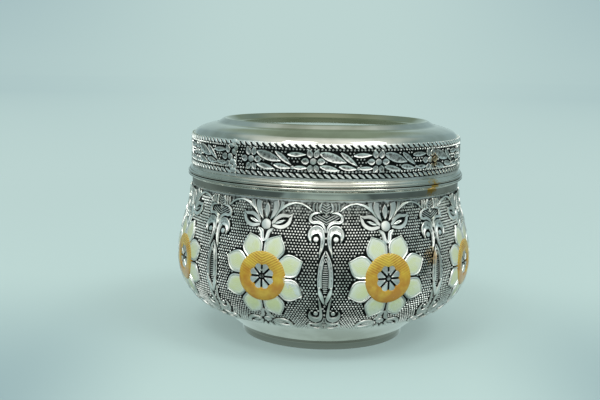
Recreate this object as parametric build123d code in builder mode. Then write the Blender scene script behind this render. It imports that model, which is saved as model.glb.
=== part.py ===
"""Round box with a lift-off lid: embossed and enamelled belly, plain turned collars, embossed lid strip.

Millimetres, +Z up, origin at the centre of the foot's bottom face, front towards -Y.
The box is a set of turned sheets and rings, stacked and soldered; the lid slips over an inner sleeve.
"""
from build123d import *
import os
from math import atan2, cos, degrees, hypot, radians, sin, tan

# Sheet and wall thicknesses
sheet = 0.8                 # embossed belly wall
cup_sheet = 0.9             # spun bottom
foot_wall = 1.3
sleeve_wall = 0.8
skirt_wall = 0.7            # lid crown and its skirt
strip_wall = 0.6            # embossed strip round the lid

# Foot, bottom and belly, from the table up
foot_height = 2.5
foot_draw = 13.2            # from the belly's lower edge in to the foot
cup_rise = 9.2              # foot to the belly's lower edge
cup_hollow = 0.45           # how far the bottom's flank is hollowed
belly_radius = 61.8         # widest outer radius
belly_lower = 21.9          # lower edge to the widest height
belly_upper = 30.6          # widest height to the neck
seam_draw = 14.0            # widest radius in to the belly's lower edge
neck_draw = 5.2             # widest radius in to the neck
neck_hollow = 37.0          # radius of the hollow below the neck

# Neck ring, and the sleeve that the lid slips over
neck_height = 4.5
neck_wall = 1.7             # neck radius in to the sleeve
flange_height = 1.1         # both flanges, with a round nose
neck_cove = 1.05            # radius of the hollow from the neck out to the flange's nose
sleeve_stand = 5.8          # sleeve above the neck ring
edge_break = 0.2            # chamfer on the sleeve's mouth

# Lid
lid_clear = 0.3             # radial slip between sleeve and lid
lid_gap = 0.2               # height that the lid is held off its seat by the polished faces
lid_cove = 1.3              # plain hollow between the lid's flange and its strip
cove_depth = 0.35           # how far that hollow is cut back
strip_upright = 11.9        # upright part of the strip
shoulder_radius = 4.6
shoulder_turn = 74.6        # degrees that the shoulder turns before the shelf
strip_curl = 19.0           # degrees of the shoulder that the strip's edge follows
shelf_width = 6.3           # sloping shelf between the shoulder and the rim
rim_foot_radius = 3.0       # hollow where the shelf meets the rim
rim_rise = 2.3
rim_slope_out = 3.4         # run of the rim's outer slope
rim_slope_in = 3.8          # run of the rim's inner slope
rim_radius = 2.0
recess_drop = 2.7           # rim's corner down to the recessed middle
recess_radius = 2.0
lap_width = 3.6             # lapped ends of the strip
lap_rise = 0.45
lap_bearing = -41.0         # degrees from the front, towards +X

# Enamelled flowers round the belly
flower_count = 8
flower_rise = 1.65          # flower centres above the widest height
petal_count = 8
ring_inner = 5.1
ring_outer = 9.5
petal_root = 9.9            # flower centre to the petals' roots
petal_tip = 15.8
petal_root_half = 2.9
petal_half = 3.7            # half of a petal's greatest width
petal_widest = 2.4          # root to the widest place
pocket_depth = 0.35
enamel_proud = 0.3
cutter_reach = 22.0         # depth of the straight-sided cutters, past the belly's curve

# Pressed relief of the belly. Places are (across, up) from the axis of the scroll or flower and the widest height
flower_turn = 30.4          # degrees of the wall that a flower takes up; the scrolls have the rest
relief_rise = 0.5           # what is pressed stands this proud of the wall
relief_root = 0.3           # and is one with it this deep
almond_half = 3.0           # almond-shaped frame in the middle of a scroll
almond_top = 12.3
almond_bottom = -7.7
window_half = 1.2           # open middle of the almond
window_top = 8.5
window_bottom = -4.3
stem_half = 0.8             # stems from the almond to the volutes
stem_across = 1.4
upper_volute = (3.7, 18.3)
upper_volute_radius = 3.2
lower_volute = (3.6, -13.1)
lower_volute_radius = 2.7
upper_lobe = (3.3, 23.9)    # heart above the upper volutes
upper_lobe_radius = 2.6
lower_lobe = (4.0, -18.1)
lower_lobe_radius = 1.9
crest = (0, 27.7)
crest_radius = 2.7
upper_boss = (0, 20.9)      # lotus above the flower
lower_boss = (0, -16.3)
boss_radius = 2.0
upper_leaf = (6.3, 22.0)
lower_leaf = (6.0, -17.2)
leaf_half_length = 4.3
leaf_half_width = 1.9
leaf_lean = 70.0            # degrees that the side leaves lean out from upright
upper_bud = (0, 26.4)
lower_bud = (0, -20.2)
bud_half_length = 4.4
bud_half_width = 2.6
cup_half = 2.9              # tulip cup between the boss and the flower
cup_rim = 1.5               # boss's middle to the cup's rim, which runs into the boss
cup_height = 5.1

# Heights and radii that follow
front_turn = -90            # the front lies towards -Y, a quarter turn back from +X
floor_z = foot_height
seam_z = foot_height + cup_rise
belly_z = seam_z + belly_lower
neck_z = belly_z + belly_upper
seat_z = neck_z + neck_height
lid_z = seat_z + lid_gap
strip_z = lid_z + flange_height + lid_cove
shoulder_z = strip_z + strip_upright
seam_radius = belly_radius - seam_draw
foot_radius = seam_radius - foot_draw
neck_radius = belly_radius - neck_draw
flange_nose = flange_height / 2
nose_centre = neck_radius + neck_cove
flange_radius = nose_centre + flange_nose
sleeve_radius = neck_radius - neck_wall
lid_inner = sleeve_radius + lid_clear
crown_radius = lid_inner + skirt_wall
strip_radius = crown_radius + strip_wall

# The belly's outline: a lower arc, an upper arc and the hollow that ends upright at the neck
lower_arc = (seam_draw ** 2 + belly_lower ** 2) / (2 * seam_draw)
lower_turn = degrees(atan2(belly_lower, lower_arc - seam_draw))
neck_turn = 2 * degrees(atan2(neck_draw, belly_upper))
upper_arc = belly_upper / sin(radians(neck_turn)) - neck_hollow


def on_circle(centre, radius, angle):
    """Point at an angle in degrees, counted from +X, on a circle."""
    return centre[0] + radius * cos(radians(angle)), centre[1] + radius * sin(radians(angle))


def belly_band(outer_inset, inner_inset):
    """Section between two insets from the belly's outer face, from its lower edge to the neck."""
    ends = []
    for inset in (outer_inset, inner_inset):
        CenterArc((belly_radius - lower_arc, belly_z), lower_arc - inset, -lower_turn, lower_turn)
        CenterArc((belly_radius - upper_arc, belly_z), upper_arc - inset, 0, neck_turn)
        hollow = (neck_radius + neck_hollow, neck_z)
        CenterArc(hollow, neck_hollow + inset, 180 + neck_turn, -neck_turn)
        low = on_circle((belly_radius - lower_arc, belly_z), lower_arc - inset, -lower_turn)
        ends.append((low, (neck_radius - inset, neck_z)))
    Line(ends[0][0], ends[1][0])
    Line(ends[0][1], ends[1][1])


def finish(part, name):
    """Labels a finished piece and writes it."""
    part.label = name
    export_step(part, f"parts/{name}.step")
    solids = part.solids()
    print(f"{name}: {len(solids)} solid(s), {sum(s.volume for s in solids):.1f} mm3")


os.makedirs("parts", exist_ok=True)

# Foot ring: a plain band soldered under the bottom
with BuildPart() as foot_ring:
    with BuildSketch(Plane.XZ) as foot_section:
        with Locations((foot_radius - foot_wall / 2, foot_height / 2)):
            Rectangle(foot_wall, foot_height)
    revolve(axis=Axis.Z)
finish(foot_ring.part, "foot_ring")

# Bottom: a spun cup whose flank is slightly hollow and meets the belly's lower edge square
seam_inner = on_circle((belly_radius - lower_arc, belly_z), lower_arc - sheet, -lower_turn)
flank = hypot(foot_draw, cup_rise)
flank_middle = (
    seam_radius - foot_draw / 2 + cup_hollow * cup_rise / flank,
    floor_z + cup_rise / 2 - cup_hollow * foot_draw / flank,
)
with BuildPart() as base_cup:
    with BuildSketch(Plane.XZ) as cup_section:
        with BuildLine() as cup_line:
            Line((0, floor_z), (foot_radius, floor_z))
            ThreePointArc((foot_radius, floor_z), flank_middle, (seam_radius, seam_z))
            Line((seam_radius, seam_z), seam_inner)
            Line(seam_inner, (foot_radius, floor_z + cup_sheet))
            Line((foot_radius, floor_z + cup_sheet), (0, floor_z + cup_sheet))
            Line((0, floor_z + cup_sheet), (0, floor_z))
        make_face()
    revolve(axis=Axis.Z)
finish(base_cup.part, "base_cup")

# Enamel fills of each flower: eight petals, and the ring inside them
with BuildPart() as enamel_layer:
    with BuildSketch(Plane.XZ) as layer_section:
        with BuildLine() as layer_line:
            belly_band(-enamel_proud, pocket_depth)
        make_face()
    revolve(axis=Axis.Z)

with BuildSketch() as petal_shape:
    with BuildLine() as petal_line:
        widest = petal_root + petal_widest
        Line((petal_root, -petal_root_half), (petal_root, petal_root_half))
        for side in (1, -1):
            Spline(
                (petal_root, side * petal_root_half),
                (widest, side * petal_half),
                (petal_tip, 0),
                tangents=((1, side), (1, -side)),
            )
    make_face()

face_plane = Plane(
    origin=(0, -(belly_radius + enamel_proud), belly_z + flower_rise), x_dir=(1, 0, 0), z_dir=(0, -1, 0)
)
with BuildPart() as front_petals:
    with BuildSketch(face_plane) as petal_sketch:
        with PolarLocations(0, petal_count, start_angle=180 / petal_count):
            add(petal_shape.sketch)
    extrude(amount=-cutter_reach)
    add(enamel_layer.part, mode=Mode.INTERSECT)

with BuildPart() as front_ring:
    with BuildSketch(face_plane) as ring_sketch:
        Circle(ring_outer)
        Circle(ring_inner, mode=Mode.SUBTRACT)
    extrude(amount=-cutter_reach)
    add(enamel_layer.part, mode=Mode.INTERSECT)

for number in range(1, flower_count + 1):
    bearing = Location((0, 0, 0), (0, 0, (number - 0.5) * 360 / flower_count))
    with BuildPart() as petals:
        with Locations(bearing):
            add(front_petals.part)
    finish(petals.part, f"petal_enamel_{number}")
    with BuildPart() as ring:
        with Locations(bearing):
            add(front_ring.part)
    finish(ring.part, f"ring_enamel_{number}")

# Relief: what the dies press up, drawn flat and cut out of a thin layer that follows the belly
with BuildPart() as relief_layer:
    with BuildSketch(Plane.XZ) as relief_section:
        with BuildLine() as relief_line:
            belly_band(-relief_rise, relief_root)
        make_face()
    revolve(axis=Axis.Z)

relief_plane = Plane(origin=(0, -(belly_radius + relief_rise), belly_z), x_dir=(1, 0, 0), z_dir=(0, -1, 0))


def almond(half, bottom, top):
    """A pointed oval round the upright axis, between two heights."""
    with BuildSketch() as shape:
        with BuildLine():
            SagittaArc((0, bottom), (0, top), half)
            SagittaArc((0, bottom), (0, top), -half)
        make_face()
    return shape.sketch


frame_almond = almond(almond_half, almond_bottom, almond_top)
window_almond = almond(window_half, window_bottom, window_top)
leaf_almond = almond(leaf_half_width, -leaf_half_length, leaf_half_length)
bud_almond = almond(bud_half_width, -bud_half_length, bud_half_length)


def lotus(boss, leaf, bud, up):
    """A boss with two side leaves, a bud that points away from the flower and a cup that points at it."""
    add(bud_almond.moved(Location(bud)))
    for side in (1, -1):
        add(leaf_almond.moved(Location((side * leaf[0], leaf[1]), -side * up * leaf_lean)))
    with Locations(boss):
        Circle(boss_radius)
    rim = boss[1] - up * cup_rim
    Polygon((-cup_half, rim), (cup_half, rim), (0, rim - up * cup_height), align=None)


round_forms = (
    (upper_volute, upper_volute_radius),
    (lower_volute, lower_volute_radius),
    (upper_lobe, upper_lobe_radius),
    (lower_lobe, lower_lobe_radius),
)
with BuildPart() as column_relief:
    with BuildSketch(relief_plane) as column_sketch:
        add(frame_almond)
        for side in (1, -1):
            with Locations((side * stem_across, (upper_volute[1] + lower_volute[1]) / 2)):
                Rectangle(2 * stem_half, upper_volute[1] - lower_volute[1])
            for middle, radius in round_forms:
                with Locations((side * middle[0], middle[1])):
                    Circle(radius)
        with Locations(crest):
            Circle(crest_radius)
        add(window_almond, mode=Mode.SUBTRACT)
    extrude(amount=-cutter_reach)
    add(relief_layer.part, mode=Mode.INTERSECT)

with BuildPart() as flower_relief:
    with BuildSketch(relief_plane) as lotus_sketch:
        lotus(upper_boss, upper_leaf, upper_bud, 1)
        lotus(lower_boss, lower_leaf, lower_bud, -1)
    extrude(amount=-cutter_reach)
    add(relief_layer.part, mode=Mode.INTERSECT)


# Belly: the embossed wall, worked out over one flower and one scroll, and repeated
def wall_stretch(turn):
    """A stretch of bare wall, turned evenly to both sides of the front."""
    with BuildPart() as stretch:
        with BuildSketch(Plane.XZ.rotated((0, 0, front_turn - turn / 2))):
            with BuildLine():
                belly_band(0, sheet)
            make_face()
        revolve(axis=Axis.Z, revolution_arc=turn)
    return stretch.part


sector_turn = 360 / flower_count
with BuildPart() as flower_stretch:
    add(wall_stretch(flower_turn))
    add(flower_relief.part)
    add([front_petals.part, front_ring.part], mode=Mode.SUBTRACT)

with BuildPart() as scroll_stretch:
    add(wall_stretch(sector_turn - flower_turn))
    add(column_relief.part)

with BuildPart() as belly_shell:
    with PolarLocations(0, flower_count, start_angle=sector_turn / 2):
        add(flower_stretch.part)
    with PolarLocations(0, flower_count):
        add(scroll_stretch.part)
finish(belly_shell.part, "belly_shell")

# Neck ring: plain collar on the belly's edge, hollowed up into the flange that the lid rests on
cove_z = seat_z - flange_height - neck_cove
with BuildPart() as neck_ring:
    with BuildSketch(Plane.XZ) as neck_section:
        with BuildLine() as neck_line:
            Polyline(
                (nose_centre, seat_z),
                (sleeve_radius, seat_z),
                (sleeve_radius, neck_z),
                (neck_radius, neck_z),
                (neck_radius, cove_z),
            )
            RadiusArc((neck_radius, cove_z), (nose_centre, cove_z + neck_cove), neck_cove)
            ThreePointArc(
                (nose_centre, seat_z - flange_height),
                (flange_radius, seat_z - flange_nose),
                (nose_centre, seat_z),
            )
        make_face()
    revolve(axis=Axis.Z)
finish(neck_ring.part, "neck_ring")

# Sleeve: a thin upright ring inside the neck, which the lid slips over
with BuildPart() as seat_sleeve:
    with BuildSketch(Plane.XZ) as sleeve_section:
        with Locations((sleeve_radius - sleeve_wall / 2, (neck_z + seat_z + sleeve_stand) / 2)):
            Rectangle(sleeve_wall, neck_height + sleeve_stand)
    revolve(axis=Axis.Z)
    chamfer(seat_sleeve.edges().group_by(Axis.Z)[-1], edge_break)
finish(seat_sleeve.part, "seat_sleeve")

# Lid flange: the ring that closes on the neck ring, hollowed up to the strip
lid_nose_z = lid_z + flange_height
with BuildPart() as lid_flange:
    with BuildSketch(Plane.XZ) as flange_section:
        with BuildLine() as flange_line:
            Polyline(
                (nose_centre, lid_z),
                (lid_inner, lid_z),
                (lid_inner, strip_z),
                (strip_radius, strip_z),
            )
            SagittaArc((strip_radius, strip_z), (nose_centre, lid_nose_z), -cove_depth)
            ThreePointArc(
                (nose_centre, lid_nose_z),
                (flange_radius, lid_z + flange_nose),
                (nose_centre, lid_z),
            )
        make_face()
    revolve(axis=Axis.Z)
finish(lid_flange.part, "lid_flange")

# Lid crown: one spun sheet, from the skirt over the shoulder, shelf and rim to the sunken middle
shoulder_centre = (crown_radius - shoulder_radius, shoulder_z)
shelf_start = on_circle(shoulder_centre, shoulder_radius, shoulder_turn)
shelf_slope = 90 - shoulder_turn
shelf_end = (shelf_start[0] - shelf_width, shelf_start[1] + shelf_width * tan(radians(shelf_slope)))
rim_peak = (shelf_end[0] - rim_slope_out, shelf_end[1] + rim_rise)
recess_edge = (rim_peak[0] - rim_slope_in, rim_peak[1] - recess_drop)
with BuildPart() as lid_crown:
    with BuildSketch(Plane.XZ) as crown_section:
        with BuildLine() as crown_line:
            Line((crown_radius, strip_z), (crown_radius, shoulder_z))
            CenterArc(shoulder_centre, shoulder_radius, 0, shoulder_turn)
            FilletPolyline(
                shelf_start, shelf_end, rim_peak, recess_edge, (0, recess_edge[1]),
                radius=(rim_foot_radius, rim_radius, recess_radius),
            )
            offset(amount=skirt_wall, side=Side.LEFT)
        make_face()
    revolve(axis=Axis.Z)
finish(lid_crown.part, "lid_crown")

# Lid strip: embossed band wrapped round the skirt, its top edge pressed over the shoulder, its ends lapped
with BuildPart() as lid_strip:
    with BuildSketch(Plane.XZ) as strip_section:
        with BuildLine() as strip_line:
            for radius in (shoulder_radius, shoulder_radius + strip_wall):
                wall = shoulder_centre[0] + radius
                Line((wall, strip_z), (wall, shoulder_z))
                CenterArc(shoulder_centre, radius, 0, strip_curl)
            Line((crown_radius, strip_z), (strip_radius, strip_z))
            Line(
                on_circle(shoulder_centre, shoulder_radius, strip_curl),
                on_circle(shoulder_centre, shoulder_radius + strip_wall, strip_curl),
            )
        make_face()
    revolve(axis=Axis.Z)
    lap_turn = degrees(lap_width / strip_radius)
    lap_start = Plane.XZ.rotated((0, 0, front_turn + lap_bearing - lap_turn / 2))
    with BuildSketch(lap_start) as lap_section:
        with Locations((strip_radius + lap_rise / 2, (strip_z + shoulder_z) / 2)):
            Rectangle(lap_rise, strip_upright)
    revolve(axis=Axis.Z, revolution_arc=lap_turn)
finish(lid_strip.part, "lid_strip")
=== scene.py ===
"""Round box with a lift-off lid: spun and pressed brass, silver plated, with enamelled flowers."""
from math import atan2, cos, pi, radians, sin, tan

import bmesh
import bpy
from mathutils import Matrix, Vector


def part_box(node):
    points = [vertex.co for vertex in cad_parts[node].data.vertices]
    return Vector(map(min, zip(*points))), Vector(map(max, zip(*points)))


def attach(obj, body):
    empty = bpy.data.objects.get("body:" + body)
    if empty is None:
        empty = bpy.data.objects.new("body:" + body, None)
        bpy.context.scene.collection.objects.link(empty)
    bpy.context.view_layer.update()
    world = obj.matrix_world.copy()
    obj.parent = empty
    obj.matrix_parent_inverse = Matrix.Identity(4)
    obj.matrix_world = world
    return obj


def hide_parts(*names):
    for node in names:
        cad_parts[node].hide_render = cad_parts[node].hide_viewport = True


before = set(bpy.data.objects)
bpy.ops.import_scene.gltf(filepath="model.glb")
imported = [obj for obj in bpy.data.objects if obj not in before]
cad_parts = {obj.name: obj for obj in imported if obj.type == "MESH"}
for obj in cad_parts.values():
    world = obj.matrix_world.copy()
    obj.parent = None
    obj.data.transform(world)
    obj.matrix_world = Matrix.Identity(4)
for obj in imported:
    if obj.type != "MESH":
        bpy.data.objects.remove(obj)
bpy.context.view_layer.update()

# Camera: 0.4 m in front of the box and a little above its lid, looking down by about 8 degrees.
# Its place is the viewing point of the photograph, worked back to the box's own size.
MM = 0.001
camera_reach, camera_height = 399.4, 114.9      # from the box's axis and from the table, millimetres
camera_swing, camera_yaw = radians(-0.91), radians(-0.594)
camera_pitch, camera_roll = radians(-8.406), radians(1.007)


def placed(name, data):
    """A new object in the scene, at the origin."""
    thing = bpy.data.objects.new(name, data)
    bpy.context.scene.collection.objects.link(thing)
    return thing


lens = bpy.data.cameras.new("camera")
lens.lens, lens.sensor_width, lens.clip_start = 56.0, 36.0, 0.01
camera = placed("camera", lens)
camera_place = Vector((camera_reach * sin(camera_swing), -camera_reach * cos(camera_swing), camera_height))
camera.matrix_world = (
    Matrix.Translation(camera_place * MM)
    @ Matrix.Rotation(-camera_yaw, 4, "Z")
    @ Matrix.Rotation(pi / 2 + camera_pitch, 4, "X")
    @ Matrix.Rotation(camera_roll, 4, "Z")
)
bpy.context.scene.camera = camera
bpy.context.scene.view_settings.view_transform = "Standard"


# Studio: pale seamless paper that runs out into a pale room, under two soft boxes in front of the box.
# Seen directly, room and paper grow a little darker to the sides; the light that they give is neutral.
# The metal also shows a bright wall in front, a dim ceiling behind, and dark ends beyond the paper.
def linear(code):
    """sRGB hex colour, such as #C8D0CA, as linear red, green, blue and an alpha of 1."""
    parts = [int(code[i:i + 2], 16) / 255 for i in (1, 3, 5)]
    return tuple(p / 12.92 if p <= 0.04045 else ((p + 0.055) / 1.055) ** 2.4 for p in parts) + (1.0,)


def feed(tree, node, inputs):
    """Sets a node's inputs, each to a value or to another node's socket."""
    for key, value in inputs.items():
        if isinstance(value, bpy.types.NodeSocket):
            tree.links.new(value, node.inputs[key])
        else:
            node.inputs[key].default_value = value


def add_node(tree, kind, settings=None, inputs=None):
    """Adds a node and returns its outputs; settings are its properties."""
    node = tree.nodes.new(kind)
    for key, value in (settings or {}).items():
        setattr(node, key, value)
    feed(tree, node, inputs or {})
    return node.outputs


def calc(tree, operation, *values):
    """A sum, product or the like of one to three values."""
    return add_node(tree, "ShaderNodeMath", {"operation": operation}, dict(enumerate(values)))[0]


def ramp(tree, value, low, high, start=0.0, end=1.0, course="LINEAR"):
    """Runs from start to end while a value runs from low to high, and stays there beyond."""
    return add_node(tree, "ShaderNodeMapRange", {"interpolation_type": course},
                    {"Value": value, "From Min": low, "From Max": high, "To Min": start, "To Max": end})[0]


def smooth_ramp(tree, value, low, high, start=0.0, end=1.0):
    """The same with a soft start and a soft end."""
    return ramp(tree, value, low, high, start, end, "SMOOTHSTEP")


def blend(tree, share, first, second):
    """The first colour, or the second where the share is 1."""
    return add_node(tree, "ShaderNodeMix", {"data_type": "RGBA"}, {0: share, 6: first, 7: second})[2]


def vector_calc(tree, operation, *values, output="Vector"):
    """The same as calc for vectors, where the result may also be a plain Value."""
    return add_node(tree, "ShaderNodeVectorMath", {"operation": operation}, dict(enumerate(values)))[output]


def scaled(tree, vector, scale):
    """A vector, longer or shorter."""
    return add_node(tree, "ShaderNodeVectorMath", {"operation": "SCALE"}, {0: vector, "Scale": scale})[0]


def xyz(tree, vector):
    """A vector's three parts, by letter."""
    return add_node(tree, "ShaderNodeSeparateXYZ", None, {0: vector})


def seen_directly(tree):
    """1 for camera, glossy and transmission rays, so that metal shows the same surround as the camera."""
    path = add_node(tree, "ShaderNodeLightPath")
    first = calc(tree, "MAXIMUM", path["Is Camera Ray"], path["Is Glossy Ray"])
    return calc(tree, "MAXIMUM", first, path["Is Transmission Ray"])


def to_the_side(tree, direction, most):
    """The surround's colour in a direction: darker the further it lies to either side."""
    aside = calc(tree, "ABSOLUTE", xyz(tree, direction)["X"])
    return blend(tree, smooth_ramp(tree, aside, 0.05, 0.38, 0.0, most), surround_middle, surround_side)


surround_middle, surround_side = linear("#BCD4D1"), linear("#9FB9BD")
surround_above = linear("#EAF5EF")
dim_ceiling = linear("#98AB98")     # behind the box, above the line of sight
bright_wall = linear("#FBFFFD")     # in front of the box and this high
bright_rise, bright_extra = radians(42), 0.4
dark_end = linear("#39423E")        # the room's ends below that wall, this high in the direction's Z
dark_rise = 0.11
room_light = linear("#E6E9E8")
paper_colour, paper_corner_shade = linear("#C0D6D3"), linear("#9BB4B7")
paper_near, paper_far = 0.06, 0.6       # metres over which the lit paper runs out into the pale room
paper_front, paper_side = 0.3, 0.16     # metres to where the metal mirrors the dark beyond the paper
shade_distance = 0.068      # from the axis, where the metal mirrors the paper in the box's own shade
floor_reach = 6.0

world = bpy.data.worlds.new("pale_surround")
world.use_nodes = True
tree = world.node_tree
tree.nodes.clear()
direction = add_node(tree, "ShaderNodeTexCoord")["Generated"]
parts = xyz(tree, direction)
height, depth = parts["Z"], parts["Y"]
climb = smooth_ramp(tree, height, 0.6, 0.95)
sideways = ramp(tree, height, 0.0, 0.1, 0.5)
tone = blend(tree, climb, to_the_side(tree, direction, sideways), surround_above)
dim = calc(tree, "MULTIPLY", smooth_ramp(tree, height, 0.32, 0.46), smooth_ramp(tree, depth, 0.3, 0.55))
central = smooth_ramp(tree, calc(tree, "ABSOLUTE", parts["X"]), 0.3, 0.15)
tone = blend(tree, calc(tree, "MULTIPLY", dim, central), tone, dim_ceiling)
towards = vector_calc(tree, "DOT_PRODUCT", direction, (0.0, -cos(bright_rise), sin(bright_rise)),
                      output="Value")
bright = smooth_ramp(tree, towards, 0.35, 0.9)
tone = blend(tree, bright, tone, bright_wall)
off = calc(tree, "ABSOLUTE", calc(tree, "SUBTRACT", height, dark_rise))
dark = calc(tree, "MULTIPLY", smooth_ramp(tree, off, 0.12, 0.04),
            smooth_ramp(tree, depth, -0.35, -0.75, 0.0, 0.9))
tone = blend(tree, dark, tone, dark_end)
strength = calc(tree, "MULTIPLY_ADD", bright, bright_extra, 1.0)
seen = add_node(tree, "ShaderNodeBackground", None, {"Color": tone, "Strength": strength})[0]
given = add_node(tree, "ShaderNodeBackground", None, {"Color": room_light, "Strength": 1.0})[0]
glow = add_node(tree, "ShaderNodeMixShader", None, {0: seen_directly(tree), 1: given, 2: seen})[0]
add_node(tree, "ShaderNodeOutputWorld", None, {"Surface": glow})
bpy.context.scene.world = world

paper = bpy.data.materials.new("seamless_paper")
paper.use_nodes = True
tree = paper.node_tree
tree.nodes.clear()
place = add_node(tree, "ShaderNodeTexCoord")["Object"]
distance = vector_calc(tree, "LENGTH", place, output="Value")
bearing = vector_calc(tree, "NORMALIZE", place)
mirrored = add_node(tree, "ShaderNodeLightPath")["Is Glossy Ray"]
fade = calc(tree, "MULTIPLY", smooth_ramp(tree, distance, paper_near, paper_far, 0.35), seen_directly(tree))
fade = calc(tree, "MAXIMUM", fade, mirrored)
sideways = ramp(tree, distance, paper_far, floor_reach / 2, 0.0, 0.5)
parts = xyz(tree, place)
aside = calc(tree, "ABSOLUTE", parts["X"])
# Painted shade: the paper is made darker towards the sides and at the front corners, where the light falls
# off.
corner_shade = calc(tree, "MULTIPLY", smooth_ramp(tree, aside, 0.05, 0.12),
              smooth_ramp(tree, parts["Y"], 0.1, -0.12))
paper_tone = blend(tree, corner_shade, paper_colour, paper_corner_shade)
lit = add_node(tree, "ShaderNodeBsdfDiffuse", None, {"Color": paper_tone, "Roughness": 0.5})[0]
away = blend(tree, corner_shade, to_the_side(tree, bearing, sideways), paper_corner_shade)
off = calc(tree, "ABSOLUTE", calc(tree, "SUBTRACT", distance, shade_distance))
reach = calc(tree, "MAXIMUM", calc(tree, "DIVIDE", parts["Y"], -paper_front),
             calc(tree, "DIVIDE", aside, paper_side))
shade = calc(tree, "MAXIMUM", smooth_ramp(tree, off, 0.01, 0.035, 0.5, 0.0),
             smooth_ramp(tree, reach, 1.0, 1.15, 0.0, 0.65))
strength = calc(tree, "SUBTRACT", 1.0, calc(tree, "MULTIPLY", shade, mirrored))
far = add_node(tree, "ShaderNodeEmission", None, {"Color": away, "Strength": strength})[0]
both = add_node(tree, "ShaderNodeMixShader", None, {0: fade, 1: lit, 2: far})[0]
add_node(tree, "ShaderNodeOutputMaterial", None, {"Surface": both})

floor_mesh = bmesh.new()
bmesh.ops.create_circle(floor_mesh, cap_ends=True, segments=96, radius=floor_reach)
floor_data = bpy.data.meshes.new("floor")
floor_mesh.to_mesh(floor_data)
floor_mesh.free()
floor_data.materials.append(paper)
floor = placed("floor", floor_data)

box_middle = Vector((0, 0, 0.05))
soft_box_width, soft_box_depth, soft_box_watts, soft_box_tint = 0.36, 0.26, 1.8, linear("#F8FFFD")
for name, centre in (("left_box", (-0.3, -0.52, 0.86)), ("right_box", (0.46, -0.4, 0.86))):
    lamp = bpy.data.lights.new(name, "AREA")
    lamp.shape, lamp.size, lamp.size_y = "RECTANGLE", soft_box_width, soft_box_depth
    lamp.energy, lamp.color = soft_box_watts, soft_box_tint[:3]
    turn = (box_middle - Vector(centre)).to_track_quat("-Z", "Y").to_matrix().to_4x4()
    placed(name, lamp).matrix_world = Matrix.Translation(centre) @ turn


# Foot ring: a plain brass band soldered under the bottom, silver plated like the rest.
# It was turned on a lathe and buffed, so it is bright, with faint rings round it.
def eased(corners, steps=4):
    """Closed outline through (radius, height, ease) corners, each rounded off over its ease."""
    outline = []
    for i, (x, z, ease) in enumerate(corners):
        here = Vector((x, z))
        if ease == 0:
            outline.append(here)
            continue
        before = Vector(corners[i - 1][:2])
        after = Vector(corners[(i + 1) % len(corners)][:2])
        start = here + (before - here).normalized() * ease
        end = here + (after - here).normalized() * ease
        for k in range(steps + 1):
            t = k / steps
            outline.append(start * (1 - t) ** 2 + here * 2 * t * (1 - t) + end * t ** 2)
    return [tuple(p) for p in outline]


def arc(centre, radius, start, end, steps):
    """Points on a circle between two angles in degrees, counted from straight outwards."""
    angles = [radians(start + (end - start) * k / steps) for k in range(steps + 1)]
    return [(centre[0] + radius * cos(a), centre[1] + radius * sin(a)) for a in angles]


def piece_from(mesh, name, *materials):
    """An object at the origin with its place in its mesh, smooth but for creases over 32 degrees."""
    crease = radians(32)
    work = bmesh.new()
    work.from_mesh(mesh)
    for face in work.faces:
        face.smooth = True
    for edge in work.edges:
        edge.smooth = len(edge.link_faces) != 2 or edge.calc_face_angle() < crease
    work.to_mesh(mesh)
    work.free()
    for material in materials:
        mesh.materials.append(material)
    return placed(name, mesh)


def cleaned(mesh, merge, dissolve=None):
    """Merges doubled points and turns all faces outwards."""
    work = bmesh.new()
    work.from_mesh(mesh)
    bmesh.ops.remove_doubles(work, verts=work.verts, dist=merge)
    if dissolve:
        bmesh.ops.dissolve_degenerate(work, edges=work.edges, dist=dissolve)
    bmesh.ops.recalc_face_normals(work, faces=work.faces)
    work.to_mesh(mesh)
    work.free()
    return mesh


def turned(name, outline, *materials, segments=288):
    """A closed section of (radius, height) points in millimetres, turned round the upright axis."""
    points, faces = [], []
    count = len(outline)
    for step in range(segments):
        turn = 2 * pi * step / segments
        points += [(r * cos(turn) * MM, r * sin(turn) * MM, z * MM) for r, z in outline]
        for k in range(count):
            j, far = (k + 1) % count, (step + 1) % segments * count
            faces.append((step * count + k, step * count + j, far + j, far + k))
    mesh = bpy.data.meshes.new(name)
    mesh.from_pydata(points, [], faces)
    return piece_from(cleaned(mesh, 1e-7), name, *materials)


def noise(tree, place, scale, detail):
    """Soft noise of 0 to 1."""
    return add_node(tree, "ShaderNodeTexNoise", None,
                    {"Vector": place, "Scale": scale, "Detail": detail})["Fac"]


def bumps(tree, height, strength, distance):
    """A normal that follows a height."""
    return add_node(tree, "ShaderNodeBump", None,
                    {"Height": height, "Strength": strength, "Distance": distance})[0]


def new_material(name):
    """A new material, and its tree, its shader and the place on the piece in millimetres."""
    material = bpy.data.materials.new(name)
    material.use_nodes = True
    shader = material.node_tree.nodes["Principled BSDF"]
    place = add_node(material.node_tree, "ShaderNodeTexCoord")["Object"]
    return material, material.node_tree, shader, scaled(material.node_tree, place, 1 / MM)


def worn(tree, place, spots):
    """How far the surface is worn: 0 to 1 in ragged spots, each a place and a radius in millimetres."""
    ragged = noise(tree, place, 0.7, 4.0)
    total = 0.0
    for spot, radius in spots:
        away = vector_calc(tree, "DISTANCE", place, spot, output="Value")
        near = ramp(tree, away, 0.0, radius, 0.62, 0.0)
        share = smooth_ramp(tree, calc(tree, "ADD", near, ragged), 0.68, 0.95)
        total = calc(tree, "MAXIMUM", share, total)
    return total


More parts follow.
